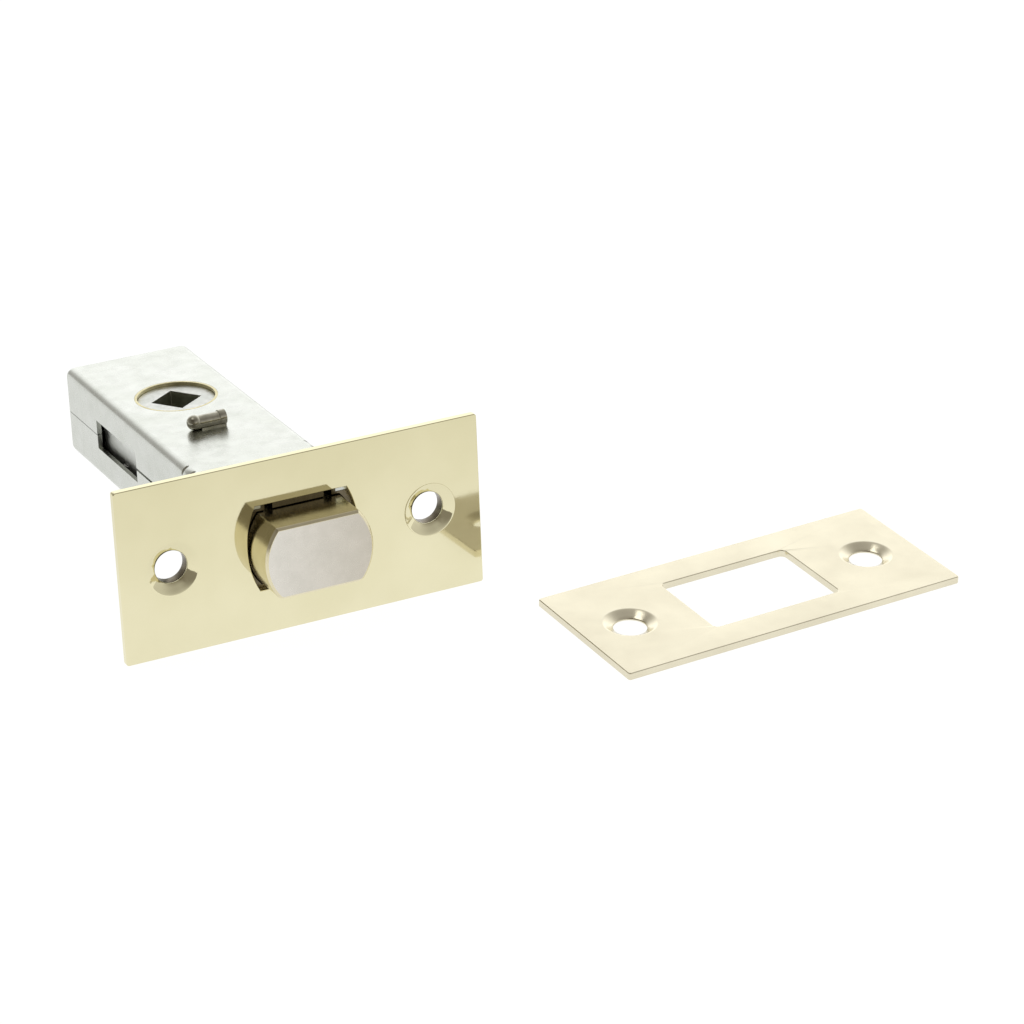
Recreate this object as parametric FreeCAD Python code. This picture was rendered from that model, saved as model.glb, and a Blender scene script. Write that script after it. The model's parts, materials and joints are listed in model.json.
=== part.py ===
"""Mortice bathroom deadbolt with its strike plate, one STEP file per piece.

Millimetres. The lock is modelled in its own frame: origin at the centre of the forend's front face,
+X along the forend, +Y from the forend into the case, +Z along the spindle. It is then laid on the
floor plane Z = 0, where it rests on the forend's lower edge and the case's rear edge, with the strike
plate flat beside it. The origin of the finished set is the bottom centre of its bounding box.
"""
import FreeCAD, Part
import math
import os

from FreeCAD import Placement, Rotation, Vector

# ---- driving dimensions: forend ----
forend_length = 54.0
forend_height = 25.4
forend_thickness = 1.1
forend_corner_radius = 0.4
backing_thickness = 1.5
backing_rim_x = 2.0
backing_rim_z = 1.9
backing_land_half = 3.85
pocket_rise = 0.35
pocket_tongue_gap = 0.6

# ---- driving dimensions: screw holes, the same in forend and strike ----
forend_hole_spacing = 38.5
screw_hole_diameter = 4.7
countersink_diameter = 7.6
countersink_depth = 0.8

# ---- driving dimensions: case ----
case_behind_hub = 20.2
case_wall = 0.7
case_bend_radius = 1.3
seam_gap = 0.1
relief_gap = 0.4
window_length = 15.5
window_above_seam = 2.33
window_below_seam = 2.08
crimp_radius = 0.3
crimp_places = (16.4, 18.8)
tongue_inset = 2.45
tongue_width = 2.4

# ---- driving dimensions: bolt ----
bolt_diameter = 16.1
bolt_flats = 10.5
bolt_drop = 0.35
bolt_edge_chamfer = 0.35
bolt_lower_corner_radius = 1.2
bolt_throw = 11.1
rest_projection = 5.6
drawn_projection = 0.5
tail_above_window = 0.35
tail_behind_window = 2.0
tail_overlap = 8.8
tail_web = 4.25
tail_tab_width = 14.0
tail_end_radius = 1.2
tail_rivet_diameter = 2.4
tail_rivet_spacing = 7.2

# ---- driving dimensions: hub and bushes ----
backset = 44.7
hub_radius = 5.65
hub_waist_radius = 4.6
hub_collar_width = 0.95
hub_arm_thickness = 1.5
hub_arm_nose = 1.15
hub_face_recess = 0.5
spindle_square = 5.3
spindle_square_angle = 39.5
drive_reach_share = 0.972  # splits the error between a crank and a constant ratio
drive_pin_radius = 1.1
drive_pin_shank_radius = 0.8
drive_pin_engagement = 1.3
bush_wall = 0.42
bush_flange_width = 1.1
bush_flange_thickness = 0.5
wave_washer_width = 1.45
wave_washer_thickness = 0.4

# ---- driving dimensions: pillar, detent spring, rear rivet, guide ----
pillar_ahead_of_hub = 13.8
pillar_width = 5.6
pillar_thickness = 1.3
tenon_width = 3.8
staked_bar_radius = 1.0
staked_end_radius = 1.1
staked_dome_overhang = 0.9
staked_flange_thickness = 1.0
detent_rise_length = 5.9
detent_width = 2.2
detent_thickness = 0.4
detent_bump_radius = 1.2
detent_dimple_depth = 0.35
detent_arc_angles = (140, 120, 100, 80, 60, 40, 20)
detent_foot_length = 4.6
detent_rivet_diameter = 1.4
detent_rivet_head_radius = 1.05
detent_rivet_head_thickness = 0.6
rear_tongue_width = 6.0
rear_tongue_thickness = 0.8
rear_rivet_diameter = 2.0
rear_rivet_head_radius = 1.6
rear_rivet_head_thickness = 0.6

# ---- driving dimensions: strike plate and where it lies ----
strike_length = 54.9
strike_width = 24.1
strike_thickness = 1.1
strike_hole_spacing = 39.6
strike_opening_length = 20.8
strike_opening_width = 14.2
strike_corner_radius = 0.8
strike_ahead_x = 58.7
strike_ahead_y = -21.3
strike_yaw = 3.2

# ---- clearances ----
bolt_side_clearance = 1.1
bolt_top_clearance = 0.55
bolt_bottom_clearance = 0.9
opening_side_clearance = 0.25
opening_top_clearance = 1.4
opening_bottom_clearance = 0.6
opening_flat_clearance = 0.75
spacer_side_clearance = 0.95
guide_tail_clearance = 3.5
tail_side_clearance = 0.75
arm_wall_clearance = 0.345
running_clearance = 0.05
slide_clearance = 0.15
fork_clearance = 0.3
pin_slot_clearance = 0.22
lay_clearance = 0.1
seat_clearance = 0.03
stop_clearance = 0.4

# ---- derived places in the lock's frame: bolt and case ----
shell_front = forend_thickness + backing_thickness
bolt_mid = -bolt_drop
bolt_radius = bolt_diameter / 2
bolt_top = bolt_mid + bolt_flats / 2
bolt_bottom = bolt_mid - bolt_flats / 2
inner_side = bolt_radius + bolt_side_clearance
inner_top = bolt_top + bolt_top_clearance
inner_bottom = bolt_bottom - bolt_bottom_clearance
case_side = inner_side + case_wall
case_top = inner_top + case_wall
case_bottom = inner_bottom - case_wall
case_depth = backset + case_behind_hub
inner_rear = case_depth - case_wall
inner_bend_radius = case_bend_radius - case_wall
tongue_inner = bolt_radius - tongue_inset
seam = (case_top + case_bottom) / 2
window_front = backset - window_length / 2
retract_travel = rest_projection - drawn_projection
extend_travel = bolt_throw - retract_travel
arm_bottom = inner_bottom + bush_flange_thickness + running_clearance
arm_top = arm_bottom + hub_arm_thickness
pillar_place = backset - pillar_ahead_of_hub
pillar_slot_half = pillar_width / 2 + slide_clearance
pillar_slot_front = pillar_place - pillar_thickness / 2 - retract_travel - stop_clearance
bolt_rear = pillar_slot_front - tail_web
tail_underside = arm_top + lay_clearance
tail_top = seam + window_above_seam + tail_above_window
tail_side = inner_side - tail_side_clearance
tail_end = window_front + window_length + tail_behind_window
guide_rear = bolt_rear + stop_clearance - extend_travel - guide_tail_clearance

# ---- derived places: hub, its crank and its bushes ----
fork_half = hub_waist_radius + fork_clearance
fork_root = backset - hub_waist_radius - retract_travel - stop_clearance
groove_place = backset + bolt_throw / 2 - retract_travel
groove_half = drive_pin_radius + pin_slot_clearance
drive_radius = inner_side - arm_wall_clearance - hub_arm_nose
hub_turn_degrees = 2 * math.degrees(math.asin(drive_reach_share * bolt_throw / 2 / drive_radius))
rest_turn = -hub_turn_degrees * (0.5 - retract_travel / bolt_throw)
hub_collar_radius = hub_radius + hub_collar_width
hub_top = case_top - hub_face_recess
hub_bottom = case_bottom + hub_face_recess
bush_inner = hub_radius + running_clearance
bush_outer = bush_inner + bush_wall
bush_flange_radius = bush_outer + bush_flange_width
spacer_radius = inner_side - spacer_side_clearance
washer_top = inner_top - bush_flange_thickness - running_clearance
washer_bottom = washer_top - wave_washer_thickness

# ---- derived places: detent leaf, and the tilt at which the lock lies ----
detent_middle = inner_side - inner_bend_radius - slide_clearance - detent_width / 2
detent_foot = bolt_rear + retract_travel + stop_clearance + lay_clearance
detent_place = detent_foot + detent_foot_length + detent_rise_length
rear_bend_ahead = case_depth - case_bend_radius - forend_thickness
rear_bend_above = case_bottom + case_bend_radius + forend_height / 2
lock_tilt = math.degrees(math.atan2(rear_bend_above, rear_bend_ahead)
                         - math.asin(case_bend_radius / math.hypot(rear_bend_ahead, rear_bend_above)))


# ---- small building helpers ----
def block(x0, x1, y0, y1, z0, z1):
    """A box between two opposite corners."""
    return Part.makeBox(x1 - x0, y1 - y0, z1 - z0, Vector(x0, y0, z0))


def mirrored(shape):
    """The shape together with its mirror image across the lock's middle plane X = 0."""
    return [shape, shape.mirror(Vector(0, 0, 0), Vector(1, 0, 0))]


def rod(radius, start, end):
    """A solid cylinder from one point to another."""
    run = end - start
    return Part.makeCylinder(radius, run.Length, start, run)


def ring(outer, inner, z0, z1):
    """A ring round the hub axis."""
    base = Vector(0, backset, z0)
    return Part.makeCylinder(outer, z1 - z0, base).cut(Part.makeCylinder(inner, z1 - z0, base))


def flatted_bar(half_width, half_height, flat_half, mid, y0, y1):
    """A bar along Y with flats above and below and a bulged arc on each side, centred at Z = mid."""
    corners = [Vector(-flat_half, y0, mid + half_height), Vector(flat_half, y0, mid + half_height),
               Vector(flat_half, y0, mid - half_height), Vector(-flat_half, y0, mid - half_height)]
    right = Part.Arc(corners[1], Vector(half_width, y0, mid), corners[2]).toShape()
    left = Part.Arc(corners[3], Vector(-half_width, y0, mid), corners[0]).toShape()
    top = Part.LineSegment(corners[0], corners[1]).toShape()
    bottom = Part.LineSegment(corners[2], corners[3]).toShape()
    return Part.Face(Part.Wire([top, right, bottom, left])).extrude(Vector(0, y1 - y0, 0))


def bolt_section(margin, y0, y1):
    """The bolt's own section, a round bar with two flats, grown by a margin all round."""
    radius = bolt_radius + margin
    half_height = bolt_flats / 2 + margin
    flat_half = math.sqrt(radius ** 2 - half_height ** 2)
    return flatted_bar(radius, half_height, flat_half, bolt_mid, y0, y1)


def countersunk_hole(place, inward, thickness):
    """The cutter for a screw hole: a cone at the face, then a straight hole through the rest."""
    depth_vector = inward * countersink_depth
    cone = Part.makeCone(countersink_diameter / 2, screw_hole_diameter / 2, countersink_depth, place, inward)
    straight = rod(screw_hole_diameter / 2, place + depth_vector, place + inward * thickness)
    return cone.fuse(straight)


def edges_along(shape, axis, test):
    """The straight edges that run along an axis and whose middle point passes the test."""
    chosen = []
    for edge in shape.Edges:
        if len(edge.Vertexes) < 2:
            continue
        run = edge.Vertexes[1].Point - edge.Vertexes[0].Point
        if abs(run.dot(axis)) > 0.999 * run.Length and test(edge.CenterOfMass):
            chosen.append(edge)
    return chosen


def strip_along(points, thickness, x_mid, width):
    """A bent strip: a line of (y, z) points thickened evenly and extruded along X."""
    upper, lower = [], []
    for index, (y, z) in enumerate(points):
        before = points[max(index - 1, 0)]
        after = points[min(index + 1, len(points) - 1)]
        length = math.hypot(after[0] - before[0], after[1] - before[1])
        normal_y = -(after[1] - before[1]) / length
        normal_z = (after[0] - before[0]) / length
        x = x_mid - width / 2
        upper.append(Vector(x, y + normal_y * thickness / 2, z + normal_z * thickness / 2))
        lower.append(Vector(x, y - normal_y * thickness / 2, z - normal_z * thickness / 2))
    outline = upper + lower[::-1]
    face = Part.Face(Part.makePolygon(outline + outline[:1]))
    return face.extrude(Vector(width, 0, 0))


# ---- forend ----
def forend_opening():
    """The cutter for the bolt's opening, wider above the bolt than below it."""
    half_height = (bolt_flats + opening_top_clearance + opening_bottom_clearance) / 2
    mid = bolt_mid + (opening_top_clearance - opening_bottom_clearance) / 2
    flat_half = math.sqrt(bolt_radius ** 2 - (bolt_flats / 2) ** 2) + opening_flat_clearance
    return flatted_bar(bolt_radius + opening_side_clearance, half_height, flat_half, mid, 0, forend_thickness)


def make_forend_plate():
    plate = block(-forend_length / 2, forend_length / 2, 0, forend_thickness,
                  -forend_height / 2, forend_height / 2)
    plate = plate.makeFillet(forend_corner_radius, edges_along(plate, Vector(0, 1, 0), lambda p: True))
    plate = plate.cut(forend_opening())
    for side in (-1, 1):
        place = Vector(side * forend_hole_spacing / 2, 0, 0)
        plate = plate.cut(countersunk_hole(place, Vector(0, 1, 0), forend_thickness))
    return plate


def make_forend_backing_plate():
    rear = shell_front
    half_length = forend_length / 2 - backing_rim_x
    half_height = forend_height / 2 - backing_rim_z
    plate = block(-half_length, half_length, forend_thickness, rear, -half_height, half_height)
    plate = plate.makeFillet(forend_corner_radius, edges_along(plate, Vector(0, 1, 0), lambda p: True))
    plate = plate.cut(bolt_section(slide_clearance, forend_thickness, rear))
    pocket = block(backing_land_half, tongue_inner - pocket_tongue_gap, forend_thickness, rear,
                   bolt_top, inner_top + pocket_rise)
    for side in (-1, 1):
        start = Vector(side * forend_hole_spacing / 2, forend_thickness, 0)
        plate = plate.cut(rod(screw_hole_diameter / 2, start, start + Vector(0, backing_thickness, 0)))
    for cutter in mirrored(pocket) + case_tongues(running_clearance):
        plate = plate.cut(cutter)
    return plate


def case_tongues(margin):
    """The four shell tongues that are staked in the backing plate, grown by a margin."""
    tongues = []
    for low, high in ((inner_top, case_top), (case_bottom, inner_bottom)):
        tongue = block(tongue_inner - margin, tongue_inner + tongue_width + margin,
                       forend_thickness, shell_front, low - margin, high + margin)
        tongues += mirrored(tongue)
    return tongues


# ---- case shells ----
def make_case():
    """The whole drawn case before it is parted at the seam."""
    outer = block(-case_side, case_side, shell_front, case_depth, case_bottom, case_top)
    long_edges = edges_along(outer, Vector(0, 1, 0), lambda p: True)
    rear_edges = edges_along(outer, Vector(1, 0, 0), lambda p: p.y > backset)
    rear_edges += edges_along(outer, Vector(0, 0, 1), lambda p: p.y > backset)
    outer = outer.makeFillet(case_bend_radius, long_edges + rear_edges)
    inner = block(-inner_side, inner_side, shell_front, inner_rear, inner_bottom, inner_top)
    inner = inner.makeFillet(inner_bend_radius, edges_along(inner, Vector(0, 1, 0), lambda p: True))
    case = outer.cut(inner)
    case = case.cut(Part.makeCylinder(bush_outer, case_top - case_bottom, Vector(0, backset, case_bottom)))
    window = block(-case_side, case_side, window_front, window_front + window_length,
                   seam - window_below_seam, seam + window_above_seam)
    case = case.cut(window)
    case = case.cut(pillar_tenon(case_bottom, case_top))
    relief = block(-case_side, case_side, pillar_place, window_front,
                   seam - relief_gap / 2, seam + relief_gap / 2)
    return case.cut(relief)


def cut_crimps(shell):
    """Two shallow dents pressed across each upper bend of the case."""
    inset = case_bend_radius * (1 - math.sqrt(0.5))
    for place in crimp_places:
        middle = Vector(case_side - inset, place, case_top - inset)
        across = Vector(1, 0, -1) * case_bend_radius
        for dent in mirrored(rod(crimp_radius, middle - across, middle + across)):
            shell = shell.cut(dent)
    return shell


def make_case_upper_shell():
    keep = block(-case_side, case_side, shell_front, case_depth, seam + seam_gap / 2, case_top)
    shell = cut_crimps(make_case().common(keep))
    for tongue in case_tongues(0)[:2]:
        shell = shell.fuse(tongue)
    hang = block(-rear_tongue_width / 2, rear_tongue_width / 2, inner_rear - rear_tongue_thickness,
                 inner_rear, inner_bottom + case_wall, seam + seam_gap / 2)
    root = block(-rear_tongue_width / 2, rear_tongue_width / 2, inner_rear - rear_tongue_thickness,
                 inner_rear, seam + seam_gap / 2, seam + window_above_seam)
    hang = hang.cut(rear_rivet_shank())
    return shell.fuse(root.fuse(hang)).removeSplitter()


def make_case_lower_shell():
    keep = block(-case_side, case_side, shell_front, case_depth, case_bottom, seam - seam_gap / 2)
    shell = make_case().common(keep)
    for tongue in case_tongues(0)[2:]:
        shell = shell.fuse(tongue)
    shell = shell.cut(rear_rivet_shank())
    rivet_hole = rod(detent_rivet_diameter / 2, detent_rivet_point(case_bottom),
                     detent_rivet_point(inner_bottom))
    return shell.cut(rivet_hole).removeSplitter()


# ---- pieces that hold the shells together ----
def pillar_tenon(z0, z1):
    """The pillar's tenon between two heights, also the cutter for its slots in the shells."""
    return block(-tenon_width / 2, tenon_width / 2, pillar_place - pillar_thickness / 2,
                 pillar_place + pillar_thickness / 2, z0, z1)


def staked_head():
    """The spread end of the pillar above the case: a ridge with a dome at one end and a flange."""
    ridge_height = case_top + staked_bar_radius
    end_height = case_top + staked_end_radius
    left = -tenon_width / 2 - staked_dome_overhang
    right = tenon_width / 2
    ridge = rod(staked_bar_radius, Vector(left, pillar_place, ridge_height),
                Vector(right, pillar_place, ridge_height))
    dome = Part.makeSphere(staked_end_radius, Vector(left, pillar_place, end_height), Vector(1, 0, 0))
    flange = rod(staked_end_radius, Vector(right - staked_flange_thickness, pillar_place, end_height),
                 Vector(right, pillar_place, end_height))
    return ridge.fuse([dome, flange])


def make_shell_pillar():
    body = block(-pillar_width / 2, pillar_width / 2, pillar_place - pillar_thickness / 2,
                 pillar_place + pillar_thickness / 2, inner_bottom, inner_top)
    head = staked_head()
    foot = head.mirror(Vector(0, 0, seam), Vector(0, 0, 1))
    tenon = pillar_tenon(case_bottom - staked_bar_radius, case_top + staked_bar_radius)
    return body.fuse([tenon, head, foot]).removeSplitter()


def rear_rivet_height():
    return (inner_bottom + case_wall + seam) / 2


def rear_rivet_shank():
    height = rear_rivet_height()
    return rod(rear_rivet_diameter / 2, Vector(0, inner_rear - rear_tongue_thickness, height),
               Vector(0, case_depth, height))


def make_rear_rivet():
    height = rear_rivet_height()
    inner_face = inner_rear - rear_tongue_thickness
    head = rod(rear_rivet_head_radius, Vector(0, inner_face - rear_rivet_head_thickness, height),
               Vector(0, inner_face, height))
    return rear_rivet_shank().fuse(head).removeSplitter()


# ---- bolt ----
def make_bolt_head():
    head = bolt_section(0, -rest_projection, bolt_rear)
    head = head.makeFillet(bolt_lower_corner_radius,
                           edges_along(head, Vector(0, 1, 0), lambda p: p.z < bolt_mid))
    face_edges = [edge for edge in head.Edges if abs(edge.BoundBox.YMax + rest_projection) < 0.001]
    head = head.makeChamfer(bolt_edge_chamfer, face_edges)
    slot = block(-bolt_diameter, bolt_diameter, bolt_rear - tail_overlap, bolt_rear,
                 tail_underside - seat_clearance, tail_top + seat_clearance)
    head = head.cut(slot)
    for shank in tail_rivet_shanks():
        head = head.cut(shank)
    return head


def tail_rivet_shanks():
    place = bolt_rear - tail_overlap / 2
    shank = rod(tail_rivet_diameter / 2, Vector(tail_rivet_spacing / 2, place, bolt_bottom),
                Vector(tail_rivet_spacing / 2, place, bolt_top))
    return mirrored(shank)


def make_tail_rivets():
    return Part.makeCompound(tail_rivet_shanks())


def make_bolt_tail():
    step = bolt_rear + stop_clearance
    tail = block(-tail_side, tail_side, step, tail_end, tail_underside, tail_top)
    corners = edges_along(tail, Vector(0, 0, 1), lambda p: p.y > backset)
    tail = tail.makeFillet(tail_end_radius, corners)
    tail = tail.fuse(block(-tail_tab_width / 2, tail_tab_width / 2, bolt_rear - tail_overlap + seat_clearance,
                           step, tail_underside, tail_top))
    tail = tail.cut(block(-pillar_slot_half, pillar_slot_half, pillar_slot_front, tail_end,
                          tail_underside, tail_top))
    tail = tail.cut(block(-fork_half, fork_half, fork_root, tail_end, tail_underside, tail_top))
    groove_top = tail_underside + drive_pin_engagement + lay_clearance
    tail = tail.cut(block(-case_side, 0, groove_place - groove_half, groove_place + groove_half,
                          tail_underside, groove_top))
    for shank in tail_rivet_shanks():
        tail = tail.cut(shank)
    for place in (detent_place - retract_travel, detent_place + extend_travel):
        ball_height = tail_underside - detent_bump_radius + detent_dimple_depth
        dimple = rod(detent_bump_radius, Vector(detent_middle - detent_width / 2, place, ball_height),
                     Vector(tail_side, place, ball_height))
        tail = tail.cut(dimple)
    return tail.removeSplitter()


def make_bolt_guide():
    """Nylon saddle over the bolt, just behind the backing plate."""
    front = shell_front + lay_clearance
    outer = block(-inner_side + lay_clearance, inner_side - lay_clearance, front, guide_rear,
                  bolt_mid, inner_top - lay_clearance)
    edges = edges_along(outer, Vector(0, 1, 0), lambda p: p.z > bolt_top)
    outer = outer.makeFillet(inner_bend_radius, edges)
    return outer.cut(bolt_section(slide_clearance, front, guide_rear))


# ---- hub ----
def at_rest_turn(shape):
    """Turns a hub piece modelled at mid travel to its rest angle."""
    turned = shape.copy()
    turned.rotate(Vector(0, backset, 0), Vector(0, 0, 1), rest_turn)
    return turned


def drive_pin_point(z):
    return Vector(-drive_radius, backset, z)


def make_hub():
    shoulder = tail_top + lay_clearance
    axis_foot = Vector(0, backset, hub_bottom)
    waist = Part.makeCylinder(hub_waist_radius, hub_top - hub_bottom, axis_foot)
    upper = Part.makeCylinder(hub_radius, hub_top - shoulder, Vector(0, backset, shoulder))
    lower = Part.makeCylinder(hub_radius, arm_top - hub_bottom, axis_foot)
    collar = Part.makeCylinder(hub_collar_radius, hub_arm_thickness, Vector(0, backset, arm_bottom))
    taper = Part.makePolygon([Vector(0, backset - hub_collar_radius, arm_bottom),
                              Vector(0, backset + hub_collar_radius, arm_bottom),
                              Vector(-drive_radius, backset + hub_arm_nose, arm_bottom),
                              Vector(-drive_radius, backset - hub_arm_nose, arm_bottom),
                              Vector(0, backset - hub_collar_radius, arm_bottom)])
    arm = Part.Face(taper).extrude(Vector(0, 0, hub_arm_thickness))
    nose = rod(hub_arm_nose, drive_pin_point(arm_bottom), drive_pin_point(arm_top))
    hub = waist.fuse([upper, lower, collar, arm, nose]).removeSplitter()
    square = Part.makeBox(spindle_square, spindle_square, hub_top - hub_bottom,
                          Vector(-spindle_square / 2, -spindle_square / 2, 0))
    square.rotate(Vector(0, 0, 0), Vector(0, 0, 1), spindle_square_angle)
    square.translate(axis_foot)
    shank = rod(drive_pin_shank_radius, drive_pin_point(arm_bottom), drive_pin_point(arm_top))
    return at_rest_turn(hub.cut(square).cut(shank))


def make_hub_drive_pin():
    shank = rod(drive_pin_shank_radius, drive_pin_point(arm_bottom), drive_pin_point(arm_top))
    head = rod(drive_pin_radius, drive_pin_point(arm_top),
               drive_pin_point(tail_underside + drive_pin_engagement))
    return at_rest_turn(shank.fuse(head))


def make_upper_hub_bush():
    sleeve = ring(bush_outer, bush_inner, inner_top, case_top)
    flange = ring(bush_flange_radius, bush_inner, inner_top - bush_flange_thickness, inner_top)
    return sleeve.fuse(flange).removeSplitter()


def make_lower_hub_bush():
    sleeve = ring(bush_outer, bush_inner, case_bottom, inner_bottom)
    flange = ring(bush_flange_radius, bush_inner, inner_bottom, inner_bottom + bush_flange_thickness)
    return sleeve.fuse(flange).removeSplitter()


def make_hub_spacer_ring():
    return ring(spacer_radius, bush_inner, tail_top + lay_clearance, washer_bottom - running_clearance)


def make_hub_wave_washer():
    return ring(bush_inner + wave_washer_width, bush_inner, washer_bottom, washer_top)


# ---- detent spring ----
def detent_rivet_point(z):
    return Vector(detent_middle, detent_foot + detent_foot_length / 2, z)


def make_detent_spring():
    floor = inner_bottom + detent_thickness / 2
    crown = tail_underside - lay_clearance - detent_thickness / 2
    bump = detent_bump_radius - detent_thickness / 2
    points = [(detent_foot, floor), (detent_foot + detent_foot_length, floor)]
    for degrees in detent_arc_angles:
        angle = math.radians(degrees)
        points.append((detent_place + bump * math.cos(angle), crown - bump + bump * math.sin(angle)))
    leaf = strip_along(points, detent_thickness, detent_middle, detent_width)
    hole = rod(detent_rivet_diameter / 2, detent_rivet_point(inner_bottom),
               detent_rivet_point(inner_bottom + detent_thickness))
    return leaf.cut(hole)


def make_detent_spring_rivet():
    shank = rod(detent_rivet_diameter / 2, detent_rivet_point(case_bottom),
                detent_rivet_point(inner_bottom + detent_thickness))
    head = rod(detent_rivet_head_radius, detent_rivet_point(inner_bottom + detent_thickness),
               detent_rivet_point(inner_bottom + detent_thickness + detent_rivet_head_thickness))
    return shank.fuse(head).removeSplitter()


# ---- strike plate, modelled about its own centre with its underside at Z = 0 ----
def make_strike_plate():
    plate = block(-strike_length / 2, strike_length / 2, -strike_width / 2, strike_width / 2,
                  0, strike_thickness)
    plate = plate.makeFillet(forend_corner_radius, edges_along(plate, Vector(0, 0, 1), lambda p: True))
    opening = block(-strike_opening_length / 2, strike_opening_length / 2,
                    -strike_opening_width / 2, strike_opening_width / 2, 0, strike_thickness)
    opening = opening.makeFillet(strike_corner_radius, edges_along(opening, Vector(0, 0, 1), lambda p: True))
    plate = plate.cut(opening)
    for side in (-1, 1):
        place = Vector(side * strike_hole_spacing / 2, 0, strike_thickness)
        plate = plate.cut(countersunk_hole(place, Vector(0, 0, -1), strike_thickness))
    return plate


# ---- placing and export ----
LOCK_PIECES = {
    "forend_plate": make_forend_plate,
    "forend_backing_plate": make_forend_backing_plate,
    "case_upper_shell": make_case_upper_shell,
    "case_lower_shell": make_case_lower_shell,
    "shell_pillar": make_shell_pillar,
    "rear_rivet": make_rear_rivet,
    "bolt_head": make_bolt_head,
    "bolt_tail": make_bolt_tail,
    "tail_rivets": make_tail_rivets,
    "bolt_guide": make_bolt_guide,
    "hub": make_hub,
    "hub_drive_pin": make_hub_drive_pin,
    "upper_hub_bush": make_upper_hub_bush,
    "lower_hub_bush": make_lower_hub_bush,
    "hub_spacer_ring": make_hub_spacer_ring,
    "hub_wave_washer": make_hub_wave_washer,
    "detent_spring": make_detent_spring,
    "detent_spring_rivet": make_detent_spring_rivet,
}


def lock_placement():
    """Lays the lock down so that the forend's lower rear edge is on the floor at Y = 0."""
    tilt = Rotation(Vector(1, 0, 0), -lock_tilt)
    edge = Vector(0, forend_thickness, -forend_height / 2)
    return Placement(-tilt.multVec(edge), tilt)


def strike_placement():
    """Lays the strike plate on the floor ahead of the forend and to its right."""
    return Placement(Vector(strike_ahead_x, strike_ahead_y, 0), Rotation(Vector(0, 0, 1), strike_yaw))


def place(shape, placement):
    placed = shape.copy()
    placed.Placement = placement.multiply(placed.Placement)
    return placed


def build_all():
    """Every piece where it lies, and the shift that puts the origin under the middle of the set."""
    pieces = {name: place(make(), lock_placement()) for name, make in LOCK_PIECES.items()}
    pieces["strike_plate"] = place(make_strike_plate(), strike_placement())
    box = Part.makeCompound(list(pieces.values())).optimalBoundingBox(False)
    shift = Vector(-(box.XMin + box.XMax) / 2, -(box.YMin + box.YMax) / 2, -box.ZMin)
    for shape in pieces.values():
        shape.translate(shift)
    return pieces, shift


if __name__ == "__main__":
    os.makedirs("parts", exist_ok=True)
    all_pieces, origin_shift = build_all()
    for piece_name, piece in all_pieces.items():
        piece.exportStep("parts/" + piece_name + ".step")
    print("pieces", len(all_pieces), "tilt", round(lock_tilt, 3), "shift", origin_shift)
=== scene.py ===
"""Looks for the mortice deadbolt and its strike plate: rounded edges, metal finishes, light and camera."""

import json
import math

import bmesh
import bpy
from mathutils import Matrix, Vector


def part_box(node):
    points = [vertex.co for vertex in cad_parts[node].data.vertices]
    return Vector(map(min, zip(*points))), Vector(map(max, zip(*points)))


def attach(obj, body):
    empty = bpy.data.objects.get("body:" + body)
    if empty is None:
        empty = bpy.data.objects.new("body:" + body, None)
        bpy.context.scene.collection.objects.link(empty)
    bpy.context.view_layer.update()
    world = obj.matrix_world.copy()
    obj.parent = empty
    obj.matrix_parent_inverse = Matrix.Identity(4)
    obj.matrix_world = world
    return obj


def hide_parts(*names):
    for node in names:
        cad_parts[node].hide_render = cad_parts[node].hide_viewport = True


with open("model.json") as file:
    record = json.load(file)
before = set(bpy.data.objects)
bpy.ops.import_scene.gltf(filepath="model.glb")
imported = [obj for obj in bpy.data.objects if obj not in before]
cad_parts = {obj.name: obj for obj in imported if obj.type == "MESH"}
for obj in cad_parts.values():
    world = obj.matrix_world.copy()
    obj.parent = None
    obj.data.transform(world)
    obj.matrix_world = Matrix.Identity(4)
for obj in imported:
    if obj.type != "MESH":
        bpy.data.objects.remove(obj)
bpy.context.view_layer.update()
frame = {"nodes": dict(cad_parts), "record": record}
MM = 0.001

# ---- edges of the pieces ----
MERGE_DISTANCE = 1e-6
FLAT_ANGLE = math.radians(0.5)  # facets this close to one plane are joined
ROUNDED_ANGLE = math.radians(28)  # edges sharper than this get a radius
SHARP_ANGLE = math.radians(34)  # edges sharper than this are shaded sharp
EDGE_SEGMENTS = 3

# ---- materials ----
NOISE_DETAIL = 3.0
NOISE_LOW, NOISE_HIGH = 0.3, 0.7  # the part of the noise's range that holds nearly all of it
ROUGH_BLOTCH_SHARE = 0.4  # size of the roughness blotches against the colour blotches

# ---- faces with a second material ----
END_FACE_NORMAL = -0.98
END_FACE_DEPTH = 1.5 * MM
BORE_WALL_SLANT = 0.4
BORE_REACH = 3.6 * MM

# ---- floor, light and camera ----
FLOOR_SIZE = 6.0
FLOOR_DROP = 0.00005
FLOOR_BLOTCH = 0.4
FLOOR_DARK, FLOOR_LIGHT = (0.12, 0.12, 0.12), (0.14, 0.14, 0.14)
FLOOR_ROUGHNESS = 0.9
FLOOR_GLOW = 0.95
SOFTBOX_PLACE = (-0.3, 0.2, 0.9)
SOFTBOX_SIDE = 0.4
SOFTBOX_POWER = 0.8
WORLD_DARK = (0.06, 0.045, 0.025, 1)
WORLD_STRENGTH = 1.55
# axis, where the fade starts and ends, brightness at the start and at the end
WORLD_FADES = [("Y", -0.6, 0.5, 0.42, 1.0), ("X", -0.4, 0.1, 0.3, 1.0), ("Z", 0.25, 0.9, 1.0, 0.35)]
CAMERA_AZIMUTH = math.radians(27.285)
CAMERA_ELEVATION = math.radians(27.637)
CAMERA_ROLL = math.radians(0.259)
CAMERA_DISTANCE = 0.51164
CAMERA_SENSOR = 36.0
CAMERA_LENS = 131.37
CAMERA_CLIP_START = 0.01
TARGET_FROM_FOREND = Vector((0.02615, -0.01038, 0.00342))


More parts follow.
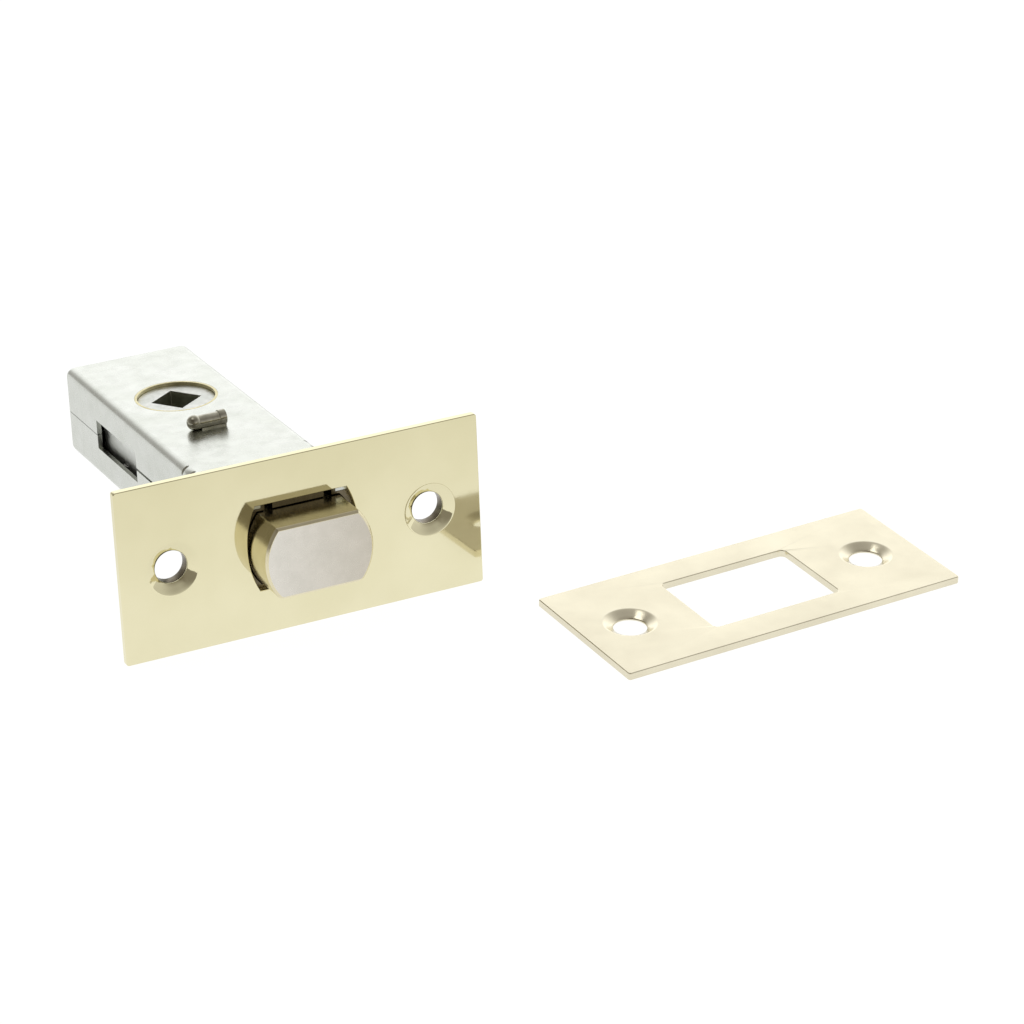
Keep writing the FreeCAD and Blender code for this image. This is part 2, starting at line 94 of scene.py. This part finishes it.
# ---- meshes: the CAD pieces with real edge radii ----
def edge_angle(edge):
    """The angle between an edge's two faces, or zero where it has no two faces."""
    if len(edge.link_faces) != 2:
        return 0.0
    return edge.calc_face_angle(0.0)


def rounded_piece(node, radius):
    """A copy of a CAD node with its sharp edges rounded, which stands for that node."""
    mesh = frame["nodes"][node].data.copy()
    shape = bmesh.new()
    shape.from_mesh(mesh)
    bmesh.ops.remove_doubles(shape, verts=shape.verts, dist=MERGE_DISTANCE)
    bmesh.ops.dissolve_limit(shape, angle_limit=FLAT_ANGLE, verts=shape.verts, edges=shape.edges)
    edges = [edge for edge in shape.edges if edge_angle(edge) > ROUNDED_ANGLE]
    bmesh.ops.bevel(shape, geom=edges, offset=radius, offset_type="OFFSET", segments=EDGE_SEGMENTS,
                    profile=0.5, affect="EDGES", clamp_overlap=True, miter_outer="SHARP")
    bmesh.ops.triangulate(shape, faces=[face for face in shape.faces if len(face.verts) > 4])
    shape.to_mesh(mesh)
    shape.free()
    piece = bpy.data.objects.new(node + "_piece", mesh)
    bpy.context.collection.objects.link(piece)
    mesh.materials.clear()
    mesh.shade_smooth()
    mesh.set_sharp_from_angle(angle=SHARP_ANGLE)
    normals = piece.modifiers.new("normals", "WEIGHTED_NORMAL")
    normals.keep_sharp = True
    return piece


# ---- materials ----
class Shader:
    """Builds one material's node tree with a few short calls."""

    def __init__(self, name):
        self.material = bpy.data.materials.new(name)
        self.material.use_nodes = True
        self.tree = self.material.node_tree
        self.surface = self.tree.nodes["Principled BSDF"]

    def node(self, kind, **settings):
        made = self.tree.nodes.new(kind)
        for key, value in settings.items():
            setattr(made, key, value)
        return made

    def link(self, source, target):
        self.tree.links.new(source, target)

    def noise(self, size, stretch=(1, 1, 1)):
        """Noise whose blotches are about size metres across, drawn out along the stretched axes."""
        place = self.node("ShaderNodeTexCoord")
        mapping = self.node("ShaderNodeMapping")
        mapping.inputs["Scale"].default_value = tuple(1 / share for share in stretch)
        self.link(place.outputs["Object"], mapping.inputs["Vector"])
        texture = self.node("ShaderNodeTexNoise")
        texture.inputs["Scale"].default_value = 1 / size
        texture.inputs["Detail"].default_value = NOISE_DETAIL
        self.link(mapping.outputs["Vector"], texture.inputs["Vector"])
        return texture.outputs["Fac"]

    def ramp(self, value, start, end):
        """A colour ramp between two stops, each a position and a colour."""
        ramp = self.node("ShaderNodeValToRGB")
        for element, (position, color) in zip(ramp.color_ramp.elements, (start, end)):
            element.position = position
            element.color = (*color, 1)
        self.link(value, ramp.inputs["Fac"])
        return ramp.outputs["Color"]

    def blotched(self, size, dark, light):
        """A colour that wanders between dark and light in blotches."""
        return self.ramp(self.noise(size), (NOISE_LOW, dark), (NOISE_HIGH, light))

    def spread(self, value, low, high):
        """The noise's middle range stretched to run from low to high."""
        spread = self.node("ShaderNodeMapRange")
        spread.inputs["From Min"].default_value = NOISE_LOW
        spread.inputs["From Max"].default_value = NOISE_HIGH
        spread.inputs["To Min"].default_value = low
        spread.inputs["To Max"].default_value = high
        self.link(value, spread.inputs["Value"])
        return spread.outputs["Result"]

    def painted_shade_along(self, color, axis, low, high, low_shade, high_shade):
        """Painted shade: the colour times a factor that changes along one axis from low to high, in
        metres.
        """
        place = self.node("ShaderNodeTexCoord")
        axes = self.node("ShaderNodeSeparateXYZ")
        self.link(place.outputs["Object"], axes.inputs["Vector"])
        share = self.node("ShaderNodeMapRange")
        share.inputs["From Min"].default_value = low
        share.inputs["From Max"].default_value = high
        self.link(axes.outputs[axis], share.inputs["Value"])
        mix = self.node("ShaderNodeMix", data_type="RGBA", blend_type="MULTIPLY")
        mix.inputs["Factor"].default_value = 1.0
        self.link(color, mix.inputs["A"])
        self.link(self.ramp(share.outputs["Result"], (0.0, low_shade), (1.0, high_shade)), mix.inputs["B"])
        return mix.outputs["Result"]

    def bump(self, height, depth):
        bump = self.node("ShaderNodeBump")
        bump.inputs["Distance"].default_value = depth
        bump.inputs["Strength"].default_value = 1.0
        self.link(height, bump.inputs["Height"])
        self.link(bump.outputs["Normal"], self.surface.inputs["Normal"])


def metal(name, dark, light, rough, blotch, grain, stretch=(1, 1, 1), depth=2e-6, fade=None):
    """A metal with blotched colour, uneven roughness and a fine grain; fade paints shade on it along one
    axis.
    """
    shader = Shader(name)
    surface = shader.surface.inputs
    surface["Metallic"].default_value = 1.0
    color = shader.blotched(blotch, dark, light)
    if fade:
        color = shader.painted_shade_along(color, *fade)
    shader.link(color, surface["Base Color"])
    roughness = shader.spread(shader.noise(blotch * ROUGH_BLOTCH_SHARE), *rough)
    shader.link(roughness, surface["Roughness"])
    shader.bump(shader.noise(grain, stretch), depth)
    return shader.material


def nylon(name, dark, light, rough, blotch, rough_blotch, grain, depth):
    """Moulded nylon, dark, with a faint grain."""
    shader = Shader(name)
    surface = shader.surface.inputs
    shader.link(shader.blotched(blotch, dark, light), surface["Base Color"])
    shader.link(shader.spread(shader.noise(rough_blotch), *rough), surface["Roughness"])
    shader.bump(shader.noise(grain), depth)
    return shader.material


FOREND_LOW, FOREND_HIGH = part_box("forend_plate")
BOLT_LOW, BOLT_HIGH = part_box("bolt_head")
# painted shade: the forend's colour is multiplied darker towards its top and left paler at its bottom,
# where it would mirror the bright floor
FOREND_PAINTED_SHADE = ("Z", FOREND_LOW[2], FOREND_HIGH[2], (1.0, 1.0, 1.0), (0.86, 0.85, 0.80))
# painted shade: the bolt's end face is painted a little lighter at its low X side and darker towards its
# high X side
BOLT_END_PAINTED_SHADE = ("X", BOLT_LOW[0], BOLT_HIGH[0], (1.02, 1.02, 1.02), (0.80, 0.77, 0.72))

METALS = {
    # polished brass of the forend, carrying painted shade that darkens it towards its top
    "polished_brass": dict(dark=(0.78, 0.735, 0.50), light=(0.82, 0.775, 0.54), rough=(0.04, 0.08),
                           blotch=9 * MM, grain=0.9 * MM, depth=6e-7, fade=FOREND_PAINTED_SHADE),
    "satin_brass": dict(dark=(0.72, 0.67, 0.515), light=(0.79, 0.74, 0.575), rough=(0.16, 0.26),
                        blotch=7 * MM, grain=0.25 * MM, stretch=(6, 1, 1)),
    "case_zinc": dict(dark=(0.56, 0.58, 0.53), light=(0.615, 0.63, 0.59), rough=(0.20, 0.32),
                      blotch=5 * MM, grain=0.9 * MM, depth=1.5e-6),
    "plated_steel": dict(dark=(0.28, 0.27, 0.21), light=(0.52, 0.50, 0.42), rough=(0.16, 0.28),
                         blotch=1.5 * MM, grain=0.3 * MM),
    # painted shade: the backing plate is coloured near black so that the gap above the bolt reads as dark
    # shade
    "painted_shade_steel": dict(dark=(0.10, 0.085, 0.055), light=(0.16, 0.135, 0.09), rough=(0.2, 0.34),
                        blotch=1.5 * MM, grain=0.3 * MM),
    "bolt_side": dict(dark=(0.68, 0.62, 0.42), light=(0.76, 0.70, 0.50), rough=(0.16, 0.26),
                      blotch=4 * MM, grain=0.3 * MM, stretch=(1, 10, 1)),
    # the bolt's end face, carrying painted shade that darkens it along X
    "bolt_end": dict(dark=(0.66, 0.64, 0.58), light=(0.71, 0.685, 0.625), rough=(0.24, 0.34),
                     blotch=2.5 * MM, grain=0.3 * MM, stretch=(1, 1, 9), depth=1.2e-6,
                     fade=BOLT_END_PAINTED_SHADE),
    "cast_zinc": dict(dark=(0.58, 0.60, 0.56), light=(0.68, 0.69, 0.66), rough=(0.34, 0.48),
                      blotch=1.5 * MM, grain=0.25 * MM, depth=8e-6),
    # painted shade: the walls of the hub's square hole are a darker zinc, standing in for the shade inside
    # the hole
    "bore_painted_shade_zinc": dict(dark=(0.40, 0.41, 0.33), light=(0.52, 0.53, 0.44), rough=(0.3, 0.44),
                      blotch=1.5 * MM, grain=0.25 * MM, depth=8e-6),
    "bright_steel": dict(dark=(0.46, 0.46, 0.46), light=(0.58, 0.58, 0.57), rough=(0.2, 0.34),
                         blotch=1.5 * MM, grain=0.2 * MM),
    "turned_brass": dict(dark=(0.48, 0.43, 0.23), light=(0.60, 0.55, 0.34), rough=(0.16, 0.28),
                         blotch=1.5 * MM, grain=0.15 * MM),
    "spring_steel": dict(dark=(0.20, 0.21, 0.24), light=(0.28, 0.28, 0.32), rough=(0.25, 0.4),
                         blotch=1.5 * MM, grain=0.2 * MM),
}
materials = {name: metal(name, **values) for name, values in METALS.items()}
materials["black_nylon"] = nylon("black_nylon", dark=(0.02, 0.018, 0.015), light=(0.035, 0.03, 0.025),
                                 rough=(0.4, 0.55), blotch=1.5 * MM, rough_blotch=0.6 * MM,
                                 grain=0.15 * MM, depth=6e-6)

# ---- pieces: node, edge radius in mm, material, record's slot ----
FINISHES = [
    ("forend_plate", 0.13, "polished_brass", "polished_brass"),
    ("strike_plate", 0.22, "satin_brass", "satin_brass"),
    # the backing plate's near-black colour is painted shade for the gap above the bolt
    ("forend_backing_plate", 0.10, "painted_shade_steel", "blackened_steel"),
    ("case_upper_shell", 0.07, "case_zinc", "zinc_plated_case"),
    ("case_lower_shell", 0.07, "case_zinc", "zinc_plated_case"),
    ("shell_pillar", 0.04, "plated_steel", "plated_steel"),
    ("rear_rivet", 0.10, "plated_steel", "plated_steel"),
    ("bolt_head", 0.12, "bolt_side", "satin_bolt"),
    ("bolt_tail", 0.08, "cast_zinc", "cast_zinc_tail"),
    ("tail_rivets", 0.05, "bright_steel", "steel_pins"),
    ("bolt_guide", 0.05, "black_nylon", "black_nylon"),
    ("hub", 0.10, "cast_zinc", "cast_zinc_hub"),
    ("hub_drive_pin", 0.08, "bright_steel", "steel_pins"),
    ("upper_hub_bush", 0.06, "turned_brass", "bush_brass"),
    ("lower_hub_bush", 0.06, "turned_brass", "bush_brass"),
    ("hub_spacer_ring", 0.08, "black_nylon", "black_nylon"),
    ("hub_wave_washer", 0.05, "spring_steel", "spring_steel"),
    ("detent_spring", 0.05, "spring_steel", "spring_steel"),
    ("detent_spring_rivet", 0.05, "bright_steel", "steel_pins"),
]


def is_bolt_end(face):
    """The flat end face of the bolt, which is a paler satin than the sides."""
    return face.normal.y < END_FACE_NORMAL and face.center.y < BOLT_LOW[1] + END_FACE_DEPTH


def is_spindle_bore(face):
    """The walls of the hub's square hole, which face the hub's axis; they get a darker zinc as painted
    shade inside the hole.
    """
    low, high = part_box("hub_wave_washer")
    inward = Vector(((low[0] + high[0]) / 2, (low[1] + high[1]) / 2, 0)) - face.center
    inward.z = 0
    upright = abs(face.normal.z) < BORE_WALL_SLANT
    return upright and inward.length < BORE_REACH and face.normal.dot(inward) > 0


# node: the second material, and which faces have it
SECOND_FINISHES = {
    "bolt_head": ("bolt_end", is_bolt_end),
    "hub": ("bore_painted_shade_zinc", is_spindle_bore),
}

bodies = frame["record"]["behaviour"]["bodies"]
node_body = {node: body for body, nodes in bodies.items() for node in nodes}
for node, radius, finish, slot in FINISHES:
    piece = rounded_piece(node, radius * MM)
    piece.data.materials.append(materials[finish])
    if node in SECOND_FINISHES:
        second, test = SECOND_FINISHES[node]
        piece.data.materials.append(materials[second])
        for face in piece.data.polygons:
            face.material_index = 1 if test(face) else 0
    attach(piece, node_body[node])
    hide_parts(node)


# ---- floor, light and camera ----
def make_floor():
    """A plain pale floor that glows a little, so that it comes out white."""
    bpy.ops.mesh.primitive_plane_add(size=FLOOR_SIZE, location=(0, 0, -FLOOR_DROP))
    floor = bpy.context.object
    floor.name = "floor"
    shader = Shader("floor")
    surface = shader.surface.inputs
    shader.link(shader.blotched(FLOOR_BLOTCH, FLOOR_DARK, FLOOR_LIGHT), surface["Base Color"])
    surface["Roughness"].default_value = FLOOR_ROUGHNESS
    surface["Emission Color"].default_value = (1.0, 1.0, 1.0, 1)
    surface["Emission Strength"].default_value = FLOOR_GLOW
    floor.data.materials.append(shader.material)


def make_softbox():
    """One soft lamp overhead, a little to the left and behind, aimed at the origin."""
    light = bpy.data.lights.new("top_softbox", "AREA")
    light.shape = "RECTANGLE"
    light.size = SOFTBOX_SIDE
    light.size_y = SOFTBOX_SIDE
    light.energy = SOFTBOX_POWER
    lamp = bpy.data.objects.new("top_softbox", light)
    lamp.location = SOFTBOX_PLACE
    lamp.rotation_euler = (-Vector(SOFTBOX_PLACE)).to_track_quat("-Z", "Y").to_euler()
    bpy.context.collection.objects.link(lamp)


def make_world():
    """A studio that is bright low down behind the object, and dim overhead, to the left and in front."""
    world = bpy.data.worlds.new("studio")
    bpy.context.scene.world = world
    world.use_nodes = True
    tree = world.node_tree
    place = tree.nodes.new("ShaderNodeTexCoord")
    axes = tree.nodes.new("ShaderNodeSeparateXYZ")
    tree.links.new(place.outputs["Generated"], axes.inputs["Vector"])
    total = None
    for axis, start, end, low, high in WORLD_FADES:
        share = tree.nodes.new("ShaderNodeMapRange")
        share.interpolation_type = "SMOOTHSTEP"
        share.inputs["From Min"].default_value = start
        share.inputs["From Max"].default_value = end
        share.inputs["To Min"].default_value = low
        share.inputs["To Max"].default_value = high
        tree.links.new(axes.outputs[axis], share.inputs["Value"])
        if total is None:
            total = share.outputs["Result"]
            continue
        product = tree.nodes.new("ShaderNodeMath")
        product.operation = "MULTIPLY"
        tree.links.new(total, product.inputs[0])
        tree.links.new(share.outputs["Result"], product.inputs[1])
        total = product.outputs["Value"]
    ramp = tree.nodes.new("ShaderNodeValToRGB")
    ramp.color_ramp.elements[0].color = WORLD_DARK
    ramp.color_ramp.elements[1].color = (1.0, 1.0, 1.0, 1)
    tree.links.new(total, ramp.inputs["Fac"])
    background = tree.nodes["Background"]
    tree.links.new(ramp.outputs["Color"], background.inputs["Color"])
    background.inputs["Strength"].default_value = WORLD_STRENGTH


def make_camera():
    """The camera looks at a point just ahead and right of the forend, with a slight roll."""
    low, high = FOREND_LOW, FOREND_HIGH
    face_centre = Vector(((low[0] + high[0]) / 2, low[1], high[2] / 2))
    target = face_centre + TARGET_FROM_FOREND
    level = math.cos(CAMERA_ELEVATION)
    aim = Vector((math.sin(CAMERA_AZIMUTH) * level, math.cos(CAMERA_AZIMUTH) * level,
                  -math.sin(CAMERA_ELEVATION)))
    camera = bpy.data.objects.new("camera", bpy.data.cameras.new("camera"))
    camera.data.sensor_width = CAMERA_SENSOR
    camera.data.lens = CAMERA_LENS
    camera.data.clip_start = CAMERA_CLIP_START
    place = Matrix.Translation(target - aim * CAMERA_DISTANCE)
    facing = aim.to_track_quat("-Z", "Y").to_matrix().to_4x4()
    camera.matrix_world = place @ facing @ Matrix.Rotation(CAMERA_ROLL, 4, "Z")
    bpy.context.collection.objects.link(camera)
    bpy.context.scene.camera = camera


def set_tones():
    """Plain tones, so that the white ground comes out white."""
    view = bpy.context.scene.view_settings
    view.view_transform = "Standard"
    view.look = "None"


set_tones()
make_floor()
make_world()
make_softbox()
make_camera()
